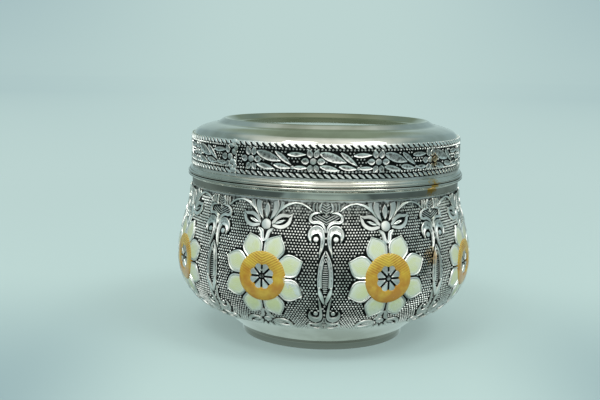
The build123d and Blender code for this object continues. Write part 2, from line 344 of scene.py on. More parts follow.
# Silver plate on spun brass, buffed: a soft mirror, a little yellow-grey, with lathe rings about
# 0.4 mm apart and dull smears a few millimetres wide where hands have touched it.
plate_bright, plate_dull = linear("#C9C7BD"), linear("#B0AEA2")
brass_bare = linear("#C59A45")
plate_foot_shade = linear("#86877F")     # darker on the foot: painted shade, as the foot mirrors the paper in the box's shadow
plate_olive_reflection = linear("#93957F")         # painted reflection and shade: dark olive in the lid's sunken middle, inside this radius and above this height
sunken_radius, sunken_level = 43.4, 80.0
foot_edge, sunken_edge = 0.3, 0.4       # half the width over which their tones begin
polished, tree, shader, place = new_material("silver_plate_on_spun_brass_buffed")
smear = noise(tree, place, 0.07, 3.0)
tone = blend(tree, ramp(tree, smear, 0.4, 0.65), plate_bright, plate_dull)
bare = worn(tree, place, (((41.5, -39.5, 67.5), 5.5), ((-44.0, 35.0, 67.5), 4.0)))
tone = blend(tree, bare, tone, brass_bare)
foot_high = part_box("foot_ring")[1]
foot_height = foot_high.z / MM
level = xyz(tree, place)["Z"]
# Painted shade: the foot is darkened where it mirrors the shaded paper round the box.
low = ramp(tree, level, foot_height + foot_edge, foot_height - foot_edge)
tone = blend(tree, low, tone, plate_foot_shade)
radius = vector_calc(tree, "LENGTH", vector_calc(tree, "MULTIPLY", place, (1.0, 1.0, 0.0)), output="Value")
# Painted reflection: the lid's sunken middle is given the dark olive that it mirrors.
sunken = smooth_ramp(tree, radius, sunken_radius + sunken_edge, sunken_radius - sunken_edge)
sunken = calc(tree, "MULTIPLY", sunken, calc(tree, "GREATER_THAN", level, sunken_level))
tone = blend(tree, sunken, tone, plate_olive_reflection)
dulling = ramp(tree, smear, 0.35, 0.7, 0.03, 0.08)
stretch = add_node(tree, "ShaderNodeMapping", None, {"Vector": place, "Scale": (0.02, 0.02, 2.5)})[0]
bump = bumps(tree, noise(tree, stretch, 1.0, 2.0), 0.025, 0.0001)
feed(tree, shader, {"Metallic": 1.0, "Base Color": tone, "Roughness": dulling, "Normal": bump})

foot_radius = foot_high.x / MM
foot_inner, foot_ease = foot_radius - 1.3, 0.25
foot_ring = turned("foot_band", eased((
    (foot_radius, 0, foot_ease), (foot_radius, foot_height, 0), (foot_inner, foot_height, 0),
    (foot_inner, 0, foot_ease),
)), polished)
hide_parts("foot_ring")
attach(foot_ring, "box")

# Bottom: a spun brass cup, its flank slightly hollow, soldered to the belly's lower edge.
# Its outside is buffed like the foot, and its inside is the floor of the box.
cup_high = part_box("base_cup")[1]
seam_z = cup_high.z / MM
cup_sheet = 0.9
flank_hollow = 0.45
seam_in, seam_up = 0.65, 0.45       # from the seam's outer edge to its inner one
seam_radius = cup_high.x / MM
belly_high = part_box("belly_shell")[1]


def hollow_line(start, end, depth, steps):
    """Points from start to end, sunk by depth in the middle, to the left of the way; below 0 it swells."""
    run = Vector(end) - Vector(start)
    away = Vector((run.y, -run.x)).normalized()
    line = []
    for k in range(steps + 1):
        t = k / steps
        line.append(tuple(Vector(start) + run * t - away * depth * 4 * t * (1 - t)))
    return line


cup_outline = hollow_line((foot_radius, foot_height), (seam_radius, seam_z), flank_hollow, 16)
cup_outline += hollow_line((seam_radius - seam_in, seam_z + seam_up),
                           (foot_radius, foot_height + cup_sheet), 0, 8)
cup_outline += [(foot_radius * k / 6, foot_height + cup_sheet) for k in range(5, -1, -1)]
cup_outline += [(foot_radius * k / 6, foot_height) for k in range(6)]
base_cup = turned("spun_bottom", cup_outline, polished)
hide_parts("base_cup")
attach(base_cup, "box")

# Belly: pressed brass sheet, silver plated, then blackened in its recesses and rubbed bright on its relief.
# This is the bare wall; what stands up from it follows piece by piece, and the inside is plain.
belly_radius, belly_z, belly_sheet = 61.8, 33.6, 0.8
belly_lower = belly_z - seam_z
seam_draw = belly_radius - seam_radius
neck_z = belly_high.z / MM
neck_overhang = 1.6         # of the neck's flange beyond its collar
neck_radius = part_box("neck_ring")[1].x / MM - neck_overhang
neck_hollow = 37.0
neck_draw = belly_radius - neck_radius
lower_arc = (seam_draw ** 2 + belly_lower ** 2) / (2 * seam_draw)
neck_turn = 2 * atan2(neck_draw, neck_z - belly_z)
upper_arc = (neck_z - belly_z) / sin(neck_turn) - neck_hollow
rise_low = -lower_arc * atan2(belly_lower, lower_arc - seam_draw)
rise_hollow = upper_arc * neck_turn
rise_high = rise_hollow + neck_hollow * neck_turn


def belly_section(rise):
    """Radius, height and lean of the wall at a distance along it from the widest height."""
    if rise < 0:
        lean = rise / lower_arc
        return belly_radius - lower_arc * (1 - cos(lean)), belly_z + lower_arc * sin(lean), lean
    if rise < rise_hollow:
        lean = rise / upper_arc
        return belly_radius - upper_arc * (1 - cos(lean)), belly_z + upper_arc * sin(lean), lean
    lean = neck_turn - (rise - rise_hollow) / neck_hollow
    return neck_radius + neck_hollow * (1 - cos(lean)), neck_z - neck_hollow * sin(lean), lean


def on_belly(across, rise, height):
    """A point of the drawing wrapped on the belly: across counts from the front, height from the wall."""
    radius, z, lean = belly_section(rise)
    radius += height * cos(lean)
    turn = across / belly_radius
    return Vector((radius * sin(turn), -radius * cos(turn), z + height * sin(lean))) * MM


belly_steps = 72
belly_outline = []
for inset in (0, belly_sheet):
    side = []
    for k in range(belly_steps + 1):
        radius, z, lean = belly_section(rise_low + (rise_high - rise_low) * k / belly_steps)
        side.append((radius - inset * cos(lean), z - inset * sin(lean)))
    belly_outline += side if inset == 0 else side[::-1]

# Silver plate, pressed and blackened: the relief attribute is 0 in the recesses and 1 on what rubs bright.
# Black silver sulphide stays in the recesses, and the tops are bright with fine scratches and grey patches.
oxide_black, plate_rubbed, plate_grey = linear("#1C201F"), linear("#FAFAF4"), linear("#C3C8BF")
embossed, tree, shader, place = new_material("silver_plate_pressed_and_blackened")
relief = add_node(tree, "ShaderNodeAttribute", {"attribute_name": "relief"})["Fac"]
pits = ramp(tree, noise(tree, place, 0.9, 4.0), 0.3, 0.7, -0.12, 0.3)
scuffs = (((-13.5, -60.3, 34.2), 3.2), ((-11.5, -60.7, 32.8), 3.6), ((-9.5, -61.1, 31.0), 3.6),
          ((-7.6, -61.3, 28.8), 3.2))
uneven = calc(tree, "MULTIPLY_ADD", worn(tree, place, scuffs), 0.35, calc(tree, "ADD", relief, pits))
rubbed = smooth_ramp(tree, uneven, 0.3, 0.85)
top = blend(tree, ramp(tree, noise(tree, place, 0.12, 3.0), 0.45, 0.75), plate_rubbed, plate_grey)
bare = worn(tree, place, (((41.3, -38.5, 78.5), 5.0), ((41.0, -45.5, 42.0), 6.0), ((-30.0, 53.0, 40.0), 7.0)))
top = blend(tree, calc(tree, "MULTIPLY", bare, 0.7), top, brass_bare)
tone = blend(tree, rubbed, oxide_black, top)
gloss = ramp(tree, rubbed, 0.0, 1.0, 0.5, 0.3)
bump = bumps(tree, noise(tree, place, 3.0, 3.0), 0.25, 0.0001)
feed(tree, shader, {"Metallic": 1.0, "Base Color": tone, "Roughness": gloss, "Normal": bump})

belly_shell = turned("belly_wall", belly_outline, embossed, polished)
ground_ends, rubbing_and_sheen_start = (-24.6, 30.4), 14.0        # along the wall from its widest height
margin_low, margin_high, rubbing_and_sheen_from = (belly_section(rise)[1] for rise in (*ground_ends, rubbing_and_sheen_start))
top_rubbing_and_sheen = 0.4           # how much brighter the bare wall is made towards the top: partly rubbed bright, partly a painted sheen of the light from above
for face in belly_shell.data.polygons:
    out = Vector((face.center.x, face.center.y, 0)).normalized()
    if face.normal.dot(out) < 0 and face.center.z / MM > seam_z:
        face.material_index = 1


def rubbed_by_height(piece, low, high, rubbing):
    """Gives a turned piece its relief: 1 outside two heights, and between them what rubbing says."""
    shine = piece.data.attributes.new("relief", "FLOAT", "POINT")
    for k, vertex in enumerate(piece.data.vertices):
        height = vertex.co.z / MM
        shine.data[k].value = rubbing(height) if low < height < high else 1.0


# The bare wall grows brighter towards the top: partly rubbing, partly a painted sheen of the light from
# above.
rubbed_by_height(belly_shell, margin_low, margin_high,
                 lambda height: top_rubbing_and_sheen * max(0.0, (height - rubbing_and_sheen_from) / (margin_high - rubbing_and_sheen_from)))
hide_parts("belly_shell")
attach(belly_shell, "box")


# Scroll columns: eight upright scrolls pressed in the belly, each with two volutes above, two below,
# an almond-shaped window with rungs between them, and a hatched heart at either end.
relief_height = 0.8


class Drawing:
    """Raised work drawn flat in millimetres as (across, up), and then wrapped on a surface.

    A stroke's edge has steps of inset, share of the height, and shine; its crown is the height and shine
    of its middle line; and it is sunk a little in its wall."""

    edge = ((0.0, 0.0, 0.0), (0.05, 0.6, 0.7), (0.13, 0.92, 1.0), (0.28, 1.0, 1.0))
    crown = (0.9, 1.0)
    sunk = 0.15

    def __init__(self):
        self.points, self.faces, self.relief, self.plan = [], [], [], []

    @staticmethod
    def smooth(path, steps):
        """A curve through all the points of a path, with steps to each span."""
        ends = [path[0]] + list(path) + [path[-1]]
        curve = []
        for i in range(len(path) - 1):
            a, b, c, d = (Vector(p) for p in ends[i:i + 4])
            for k in range(steps):
                t = k / steps
                curve.append(0.5 * (2 * b + (c - a) * t + (2 * a - 5 * b + 4 * c - d) * t ** 2
                                    + (3 * b - 3 * c + d - a) * t ** 3))
        return curve + [Vector(path[-1])]

    def loft(self, rings, closed=False):
        """Skins rings of equal count; each ring is a closed section of (across, up, height, relief, u, v)."""
        first, count = len(self.points), len(rings[0])
        for ring in rings:
            for across, up, height, relief, u, v in ring:
                self.points.append((across, up, height))
                self.relief.append(relief)
                self.plan.append((u, v))
        for i in range(len(rings) if closed else len(rings) - 1):
            low, high = first + i * count, first + (i + 1) % len(rings) * count
            for k in range(count):
                j = (k + 1) % count
                self.faces.append((low + k, low + j, high + j, high + k))

    def stroke(self, path, height=relief_height, steps=4, crown=None, edge=None, blunt=True, mirror=True):
        """A raised stroke along (across, up, half width) points, and its mirror image across the axis."""
        edge = edge or self.edge
        top, shine = crown or self.crown
        curve = self.smooth(path, steps)
        if blunt:
            curve = self.rounded_end(curve[::-1])[::-1]
            curve = self.rounded_end(curve)
        reach = edge[-1][0]
        rings, along = [], 0.0
        for i, (x, y, half) in enumerate(curve):
            ahead = curve[min(i + 1, len(curve) - 1)].xy - curve[max(i - 1, 0)].xy
            side = Vector((-ahead.y, ahead.x)).normalized()
            if i:
                along += (curve[i].xy - curve[i - 1].xy).length
            half = max(half, 0.0)
            tall = height * min(1.0, 0.35 + half / 0.4)
            fit = min(1.0, half / reach)
            inner = half - reach * fit
            spots = [(half, -self.sunk, 0.0)]
            spots += [(half - inset * fit, tall * part, bright) for inset, part, bright in edge]
            spots += [(inner * 0.5, tall * (edge[-1][1] + top) / 2, (edge[-1][2] + shine) / 2),
                      (0.0, tall * top, shine)]
            section = spots + [(-o, h, r) for o, h, r in spots[-2::-1]]
            rings.append([(x + side.x * o, y + side.y * o, h, r, along, half - abs(o))
                          for o, h, r in section])
        for turn in ((1, -1) if mirror else (1,)):
            self.loft([[(turn * p[0],) + p[1:] for p in ring] for ring in rings])

    @staticmethod
    def rounded_end(curve):
        """Ends a blunt stroke in a half round."""
        last, before = curve[-1], curve[-2]
        ahead = (last.xy - before.xy).normalized()
        tip = []
        for angle in (30, 60, 90):
            reach = last.z * sin(radians(angle))
            tip.append(Vector((*(last.xy + ahead * reach), last.z * cos(radians(angle)))))
        return curve + tip

    def stud(self, across, up, radius, height, mirror=True, sides=20, share=1.0, flat=1.0):
        """A round or flattened boss with a domed top."""
        spots = ((1.0, -self.sunk / height, 0.0), (1.0, 0.0, 0.0), (0.95, 0.55, 0.5), (0.86, 0.85, 1.0),
                 (0.5, 0.97, 1.0), (0.02, 1.0, 1.0))
        for turn in ((1, -1) if mirror else (1,)):
            rings = []
            for part, tall, shine in spots:
                ring = []
                for k in range(sides):
                    angle = turn * 2 * pi * k / sides
                    x, y = part * radius * cos(angle), part * radius * flat * sin(angle)
                    ring.append((turn * across + x, up + y, tall * height, shine * share, x, y))
                rings.append(ring)
            self.loft(rings)
            last, first = len(self.points), len(self.points) - sides * len(spots)
            self.faces.append(tuple(range(last - sides, last)))
            self.faces.append(tuple(range(first, first + sides)))

    def moved(self, across=0.0, scale=1.0, up=0.0):
        """Shifts all that is drawn so far, and stretches or turns over its heights."""
        self.points = [(x + across, y * scale + up, h) for x, y, h in self.points]
        return self

    def add(self, other):
        """Takes in another drawing as it stands."""
        first = len(self.points)
        self.points += other.points
        self.relief += other.relief
        self.plan += other.plan
        self.faces += [tuple(first + k for k in face) for face in other.faces]
        return self

    def wrap(self, name, place):
        """The drawing as a mesh, wrapped by a function of (across, up, height)."""
        mesh = bpy.data.meshes.new(name)
        mesh.from_pydata([place(*p) for p in self.points], [], self.faces)
        shine = mesh.attributes.new("relief", "FLOAT", "POINT")
        shine.data.foreach_set("value", self.relief)
        layer = mesh.uv_layers.new(name="plan")
        for loop in mesh.loops:
            layer.data[loop.index].uv = self.plan[loop.vertex_index]
        return cleaned(mesh, 2e-6, 1e-6)


def group_tree(name, inputs):
    """A geometry node tree with named inputs, and its input sockets."""
    tree = bpy.data.node_groups.new(name, "GeometryNodeTree")
    tree.interface.new_socket("Geometry", in_out="INPUT", socket_type="NodeSocketGeometry")
    for label, kind in inputs:
        tree.interface.new_socket(label, in_out="INPUT", socket_type="NodeSocket" + kind)
    tree.interface.new_socket("Geometry", in_out="OUTPUT", socket_type="NodeSocketGeometry")
    return tree, add_node(tree, "NodeGroupInput")


def copies_round(tree, sockets, geometry):
    """Copies turned round the upright axis, made real, wandering a little, and given their material."""
    index = add_node(tree, "GeometryNodeInputIndex")[0]
    turn = calc(tree, "MULTIPLY_ADD", index, sockets["Pitch"], sockets["First"])
    spin = add_node(tree, "ShaderNodeCombineXYZ", None, {"Z": turn})[0]
    spin = add_node(tree, "FunctionNodeEulerToRotation", None, {0: spin})[0]
    points = add_node(tree, "GeometryNodePoints", None, {"Count": sockets["Copies"]})[0]
    copies = add_node(tree, "GeometryNodeInstanceOnPoints", None,
                      {"Points": points, "Instance": geometry, "Rotation": spin})[0]
    real = add_node(tree, "GeometryNodeRealizeInstances", None, {0: copies})[0]
    place = add_node(tree, "GeometryNodeInputPosition")[0]
    drift = add_node(tree, "ShaderNodeTexNoise", {"noise_dimensions": "3D"},
                     {"Vector": place, "Scale": drift_scale, "Detail": 1.0})["Color"]
    shift = scaled(tree, vector_calc(tree, "SUBTRACT", drift, (0.5, 0.5, 0.5)), sockets["Wander"])
    moved = add_node(tree, "GeometryNodeSetPosition", None, {"Geometry": real, "Offset": shift})[0]
    painted = add_node(tree, "GeometryNodeSetMaterial", None,
                       {"Geometry": moved, "Material": sockets["Material"]})[0]
    add_node(tree, "NodeGroupOutput", None, {0: painted})


sectors = 8
wander = 0.16 * MM          # how far pressed work strays from where it was drawn
drift_scale = 110.0         # how soon that changes along the surface
ring_inputs = (("Copies", "Int"), ("First", "Float"), ("Pitch", "Float"), ("Wander", "Float"),
               ("Material", "Material"))
ring_tree, ring_sockets = group_tree("copies_round_the_axis", ring_inputs)
copies_round(ring_tree, ring_sockets, ring_sockets["Geometry"])


def baked(name, mesh, tree, values, material):
    """Runs a geometry node tree on a mesh and keeps the result as a plain piece."""
    values = {"First": 0.0, "Wander": wander, "Material": material, **values}
    source = placed(name + ".source", mesh)
    modifier = source.modifiers.new("shape", "NODES")
    modifier.node_group = tree
    for item in tree.interface.items_tree:
        if item.in_out == "INPUT" and item.name in values:
            modifier[item.identifier] = values[item.name]
    bpy.context.view_layer.update()
    made = source.evaluated_get(bpy.context.evaluated_depsgraph_get())
    result = bpy.data.meshes.new_from_object(made)
    result.name = name
    source.modifiers.remove(modifier)
    bpy.data.objects.remove(source)
    result.materials.clear()
    return piece_from(result, name, material)


def ringed(name, drawing, place, material, copies=sectors, **values):
    """A drawing wrapped on its wall, and its copies evenly round the upright axis."""
    values = {"Copies": copies, "Pitch": 2 * pi / copies, **values}
    return baked(name, drawing.wrap(name + "_unit", place), ring_tree, values, material)


column_step = 2 * pi * belly_radius / sectors


def hatching(drawing, outline, rows, pitch, first, slope):
    """Chevrons on both sides of the axis, each drawn from it to the edge of an outline."""
    stride, shortest = 0.1, 0.3
    for row in range(rows):
        start = first + row * pitch
        reach = 0.0
        while inside(outline, reach + stride, start + slope * (reach + stride)):
            reach += stride
        if reach > shortest:
            path = ((0.05, start, 0.2), (reach / 2, start + slope * reach / 2, 0.25),
                    (reach, start + slope * reach, 0.2))
            drawing.stroke(path, 0.45, steps=2)


def inside(outline, x, y):
    """Whether a point lies in a closed outline."""
    crossings = 0
    for i, (ax, ay) in enumerate(outline):
        bx, by = outline[i - 1]
        if (ay > y) != (by > y) and x < ax + (bx - ax) * (y - ay) / (by - ay):
            crossings += 1
    return crossings % 2 == 1


column = Drawing()
column.stroke(((2.45, 9.9, 0.12), (2.2, 11.4, 0.42), (1.6, 13.4, 0.68), (1.3, 15.5, 0.82),
               (1.42, 17.8, 1.0), (2.35, 19.75, 1.45), (3.95, 20.15, 1.7), (5.45, 19.35, 1.42),
               (6.2, 17.9, 0.98), (6.1, 16.5, 0.55), (5.5, 15.3, 0.12)), crown=(0.6, 0.5))
column.stud(3.85, 16.55, 1.08, 0.7)
column.stroke(((0.12, 12.3, 0.1), (1.0, 10.0, 0.5), (1.9, 6.8, 0.66), (2.32, 2.6, 0.68), (2.25, -1.1, 0.66)),
              relief_height * 0.8, crown=(0.75, 0.42))
column.stroke(((0.15, 9.5, 0.15), (0.85, 7.9, 0.28), (1.38, 5.0, 0.3), (1.52, 2.0, 0.3), (1.45, -1.2, 0.3)),
              relief_height * 1.1)
column.stroke(((2.35, -1.5, 0.35), (1.95, -3.1, 0.75), (1.3, -4.9, 0.82), (0.62, -6.6, 0.6),
               (0.12, -8.0, 0.1)), relief_height * 1.15)
rung_top, rung_pitch, rungs = 7.0, 0.8, 14
window_half, window_middle, window_reach = 0.95, 1.8, 7.2
for rung in range(rungs):
    level = rung_top - rung * rung_pitch
    reach = window_half * (1 - ((level - window_middle) / window_reach) ** 2)
    column.stroke(((-reach, level, 0.2), (reach, level, 0.2)), 0.25, steps=2, crown=(1.0, 0.55), mirror=False)
column.stroke(((2.6, -4.9, 0.1), (2.05, -6.9, 0.4), (1.62, -9.4, 0.5), (1.4, -11.9, 0.62),
               (1.52, -13.9, 0.85), (2.4, -15.3, 1.25), (3.75, -15.7, 1.5), (5.05, -14.9, 1.2),
               (5.8, -13.5, 0.75), (5.9, -12.3, 0.42), (5.6, -11.4, 0.1)), crown=(0.65, 0.6))
column.stud(3.45, -12.4, 0.95, 0.7)

heart = ((0, 21.4), (1.5, 22.7), (3.0, 23.5), (4.6, 23.9), (5.2, 24.6), (4.6, 25.2), (3.0, 25.7), (1.6, 25.7),
         (0, 25.3))
column.stroke(((0.35, 19.3, 0.35), (0.75, 21.0, 0.5), (1.9, 22.35, 0.58), (3.5, 22.95, 0.6),
               (5.2, 22.9, 0.62), (6.3, 23.7, 0.72), (6.2, 25.1, 0.6), (5.2, 26.1, 0.5), (3.9, 26.5, 0.45),
               (2.6, 26.5, 0.3)))
hatch_pitch = 0.95
hatching(column, heart, 5, hatch_pitch, 22.1, 0.5)
ogee = ((0, 25.9), (1.2, 26.6), (1.75, 27.7), (1.75, 29.0), (1.1, 29.9), (0, 30.0))
column.stroke(((1.7, 26.6, 0.25), (2.45, 27.4, 0.5), (2.55, 28.6, 0.55), (2.0, 29.9, 0.4)))
hatching(column, ogee, 4, hatch_pitch, 26.3, 0.5)
column.stroke(((3.7, 27.2, 0.3), (3.95, 28.4, 0.38), (3.7, 29.9, 0.3)))
column.stroke(((4.9, 27.0, 0.3), (5.2, 28.2, 0.42), (5.0, 29.8, 0.35)))
lower_heart = ((0, -18.3), (1.5, -19.5), (3.3, -20.2), (5.0, -20.2), (5.5, -20.9), (4.6, -21.7), (3.0, -22.0),
               (1.6, -21.8), (0, -21.2))
column.stroke(((0.3, -15.0, 0.25), (0.75, -16.9, 0.38), (2.0, -18.4, 0.5), (3.7, -18.95, 0.5),
               (5.3, -18.6, 0.5), (6.5, -19.2, 0.6), (6.6, -20.6, 0.6), (5.4, -22.0, 0.55),
               (3.4, -22.8, 0.5), (1.6, -22.5, 0.4), (0.5, -21.6, 0.2)))
hatching(column, lower_heart, 4, -hatch_pitch, -19.0, -0.45)
column.stroke(((0.4, -22.4, 0.3), (1.6, -23.4, 0.45), (2.4, -24.6, 0.4)), relief_height * 0.8)

scrolls = ringed("scroll_columns", column, on_belly, embossed)
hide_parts("belly_shell")
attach(scrolls, "box")

# Lotus sprigs: pressed above and below each flower, a boss between leaves that open to the neck,
# with a tulip cup that points at the flower, and an arch that runs to the next scroll.
sprig = Drawing()
leaf_edge = ((0.0, 0.0, 0.0), (0.05, 0.6, 0.7), (0.15, 1.0, 1.0), (1.55, 1.0, 1.0), (1.7, 0.3, 0.1),
             (1.8, 0.15, 0.0))
leaf_crown = (0.1, 0.0)
bract = ((1.55, 23.2, 0.2), (2.7, 25.0, 0.8), (3.6, 27.0, 1.2), (3.9, 28.8, 1.3), (3.5, 30.3, 1.2))
side_leaf = ((2.55, 21.3, 0.9), (4.4, 21.95, 2.35), (6.5, 22.7, 3.0), (8.5, 23.6, 2.5), (9.9, 24.7, 1.05),
             (10.6, 25.5, 0.08))
leaf_middle = ((3.3, 21.75, 0.1), (4.5, 22.05, 0.5), (5.9, 22.5, 0.62), (7.2, 23.0, 0.4), (7.9, 23.3, 0.06))
cup = ((3.1, 19.7, 0.3), (2.35, 19.1, 0.75), (1.55, 18.4, 0.85), (1.25, 17.3, 0.85), (1.0, 16.2, 0.8),
       (0.4, 15.3, 0.6))
sprig.stud(0, 21.3, 2.25, 0.9, mirror=False, sides=28)
sprig.stroke(((0, 23.8, 0.1), (0, 25.0, 0.8), (0, 26.6, 1.2), (0, 28.2, 0.95), (0, 29.6, 0.1)),
             mirror=False, blunt=False)
sprig.stroke(bract, blunt=False)
sprig.stroke(((2.9, 23.4, 0.12), (4.3, 25.3, 0.3), (5.5, 27.0, 0.5), (6.3, 28.8, 0.75), (6.6, 30.3, 0.8)),
             blunt=False)

lower_sprig = Drawing()
lower_sprig.stud(0, 21.0, 2.0, 0.75, mirror=False, sides=28, flat=0.8)
lower_sprig.stroke(((1.9, 23.2, 0.2), (2.6, 24.7, 0.7), (3.1, 26.6, 0.9)), blunt=False)
lower_sprig.stroke(((0, 23.2, 0.2), (0, 24.8, 0.9), (0, 26.6, 0.9)), mirror=False, blunt=False)
for drawing in (sprig, lower_sprig):
    drawing.stroke(side_leaf, crown=leaf_crown, edge=leaf_edge, blunt=False)
    drawing.stroke(leaf_middle, blunt=False)
    drawing.stroke(cup)
lower_scale, lower_up = -0.96, 2.6      # turned over, a little flatter, and moved up to the flower
lower_sprig.moved(scale=lower_scale, up=lower_up)
arch = Drawing()
arch.stroke(((5.6, 26.8, 0.3), (7.0, 28.1, 0.55), (9.0, 29.3, 0.5), (11.8, 29.95, 0.36), (14.6, 29.6, 0.36),
             (17.0, 28.5, 0.4), (18.6, 27.2, 0.3)))
sprig.add(arch).add(lower_sprig).moved(across=column_step / 2)
sprigs = ringed("lotus_sprigs", sprig, on_belly, embossed)
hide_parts("belly_shell")
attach(sprigs, "box")

# Flowers: eight pressed flowers, each petal a low tray with a bright rim that holds the enamel.
# The hub inside the ring stays bare: eight wedges between black slots, round a small knob.
flower_rise = 1.65
petals = 8
petal_path = ((8.6, 3.3), (10.2, 4.0), (11.6, 4.45), (13.0, 4.3), (14.4, 3.4), (15.8, 1.8), (17.2, 0.08))
rim_edge = ((0.0, 0.0, 0.0), (0.06, 0.6, 0.8), (0.16, 0.95, 1.0), (0.45, 1.15, 1.0), (0.75, 0.95, 1.0),
            (0.9, 0.5, 0.9))
flower = Drawing()


def rosette(drawing, path, height, **looks):
    """The same stroke for every petal, drawn outwards from the flower's middle."""
    for number in range(petals):
        turn = 2 * pi * (number + 0.5) / petals
        ray = Drawing()
        ray.stroke([(0.0, along, half) for along, half in path], height, blunt=False, mirror=False, **looks)
        ray.points = [(x * cos(turn) - y * sin(turn), x * sin(turn) + y * cos(turn) + flower_rise, h)
                      for x, y, h in ray.points]
        drawing.add(ray)


rosette(flower, petal_path, 0.8, crown=(0.35, 0.8), edge=rim_edge)
wedge_radii, slot_half = (1.35, 2.6, 3.5, 4.9), 0.36
rosette(flower, [(r, r * tan(pi / petals) - slot_half) for r in wedge_radii], 0.6)
flower.stud(0, flower_rise, 0.95, 0.5, mirror=False, sides=12, share=0.35)
flower.moved(across=column_step / 2)
flowers = ringed("flower_trays", flower, on_belly, embossed)
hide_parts("belly_shell")
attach(flowers, "box")


# Enamel: cold enamel flowed into the trays by hand, cream in the petals and amber in the ring.
# Its edges wander a little, and the fine lines pressed in the metal below show through its gloss.
def enamel(name, thick, thin, line_pitch, lines):
    """A glossy enamel whose colour runs to another where it thins and under a painted highlight, with a fine
    line pattern under it and some scuffs.
    """
    material, tree, shader, place = new_material(name)
    plan = xyz(tree, add_node(tree, "ShaderNodeUVMap", {"uv_map": "plan"})[0])
    level, strength, thinning_and_highlight = lines(tree, plan)
    wave = calc(tree, "SINE", calc(tree, "MULTIPLY", level, 2 * pi / line_pitch))
    wave = calc(tree, "MULTIPLY", wave, strength)
    pooled = calc(tree, "ADD", calc(tree, "ADD", wave, noise(tree, place, 0.22, 3.0)), thinning_and_highlight)
    tone = blend(tree, ramp(tree, pooled, 0.3, 0.75), thick, thin)
    gone = worn(tree, place, scuffs)
    tone = blend(tree, gone, tone, plate_rubbed)
    bump = bumps(tree, wave, 0.9, 0.0002)
    feed(tree, shader, {"Metallic": gone, "Base Color": tone, "Normal": bump, "Roughness": 0.3,
                        "Coat Weight": 0.4, "Coat Roughness": 0.12})
    return material


def edge_lines(tree, plan):
    """Faint lines that follow the petal's edge, how strong they are, and how thin the enamel runs there."""
    edge = ramp(tree, plan["Y"], 0.1, 1.6, 0.3, -0.12)
    tip = ramp(tree, plan["X"], 2.0, 8.0, 0.0, 0.25)
    return plan["Y"], 0.12, calc(tree, "ADD", edge, tip)


def chevron_lines(tree, plan):
    """Lines sloping up from the upright axis, their strength, and how much lighter the amber runs: both grow
    towards the top, a painted highlight.
    """
    level = calc(tree, "MULTIPLY_ADD", calc(tree, "ABSOLUTE", plan["X"]), -0.5, plan["Y"])
    strength = ramp(tree, plan["Y"], 0.0, 7.0, 0.0, 0.25)
    return level, strength, ramp(tree, plan["Y"], -8.0, 8.0, -0.14, 0.1)


cream = enamel("cream_enamel_cold_cured", linear("#D8DFA9"), linear("#DDE4D5"), 0.62, edge_lines)
# The amber's lighter yellow towards the top is a painted highlight, besides its random changes of tone.
amber = enamel("amber_enamel_cold_cured", linear("#BC8322"), linear("#DDBE42"), 1.0, chevron_lines)

fill_edge = ((0.0, 0.25, 1.0), (0.08, 0.75, 1.0), (0.3, 0.95, 1.0), (0.7, 1.0, 1.0))
tray_rim = 0.8
fills = Drawing()
fill_tip = (16.5, 0.08)     # the fill ends a little short of its petal
fill_path = [(along, half - tray_rim) for along, half in petal_path[:-1]] + [fill_tip]
rosette(fills, fill_path, 0.72, crown=(1.05, 1.0), edge=fill_edge)
petal_fills = ringed("petal_enamel", fills.moved(across=column_step / 2), on_belly, cream, Wander=wander * 2)
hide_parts(*[f"petal_enamel_{n}" for n in range(1, sectors + 1)])
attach(petal_fills, "box")

ring_inner, ring_outer, ring_steps = 4.65, 9.45, 96
creep_depth, creep_end = 0.3, 6.0       # how far the inner edge wavers, out to this radius
ring_section = ((ring_inner, -0.15), (ring_inner, 0.6), (4.9, 0.78), (6.0, 0.92), (7.3, 0.98), (8.6, 0.98),
                (9.25, 0.9), (ring_outer, 0.75), (ring_outer, -0.15))
ring_fill = Drawing()
rings = []
for k in range(ring_steps):
    angle = 2 * pi * k / ring_steps
    creep = creep_depth * cos(petals * angle) / (creep_end - ring_inner)
    section = [(r - creep * max(0.0, creep_end - r), h) for r, h in ring_section]
    rings.append([(r * cos(angle), r * sin(angle), h, 1.0, r * cos(angle), r * sin(angle))
                  for r, h in section])
ring_fill.loft(rings, closed=True)
ring_fill.moved(across=column_step / 2, up=flower_rise)
ring_fills = ringed("ring_enamel", ring_fill, on_belly, amber, Wander=wander * 2)
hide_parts(*[f"ring_enamel_{n}" for n in range(1, sectors + 1)])
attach(ring_fills, "box")

# Stippled ground: rows of small raised beads pressed between the ornaments, rubbed bright on black.
# The rows are staggered, and a bare black margin is left round everything that stands up.
stud_inputs = (("Stud", "Object"), ("Clear of", "Object"), ("Margin", "Float")) + ring_inputs
stud_tree, sockets = group_tree("beads_on_a_ground", stud_inputs)
target, stud = (add_node(stud_tree, "GeometryNodeObjectInfo", None,
                         {"Object": sockets[key]})["Geometry"] for key in ("Clear of", "Stud"))
near = add_node(stud_tree, "GeometryNodeProximity", {"target_element": "FACES"},
                {0: target})["Distance"]
close = add_node(stud_tree, "FunctionNodeCompare", {"operation": "LESS_THAN"},
                 {0: near, 1: sockets["Margin"]})[0]
free = add_node(stud_tree, "GeometryNodeDeleteGeometry", {"domain": "POINT"},
                {"Geometry": sockets["Geometry"], "Selection": close})[0]
out = add_node(stud_tree, "GeometryNodeInputNamedAttribute", {"data_type": "FLOAT_VECTOR"},
               {"Name": "outward"})[0]
level = vector_calc(stud_tree, "CROSS_PRODUCT", (0.0, 0.0, 1.0), out)
facing = add_node(stud_tree, "FunctionNodeAlignRotationToVector", {"axis": "X"}, {"Vector": level})[0]
facing = add_node(stud_tree, "FunctionNodeAlignRotationToVector", {"axis": "Z", "pivot_axis": "X"},
                  {"Rotation": facing, "Vector": out})[0]
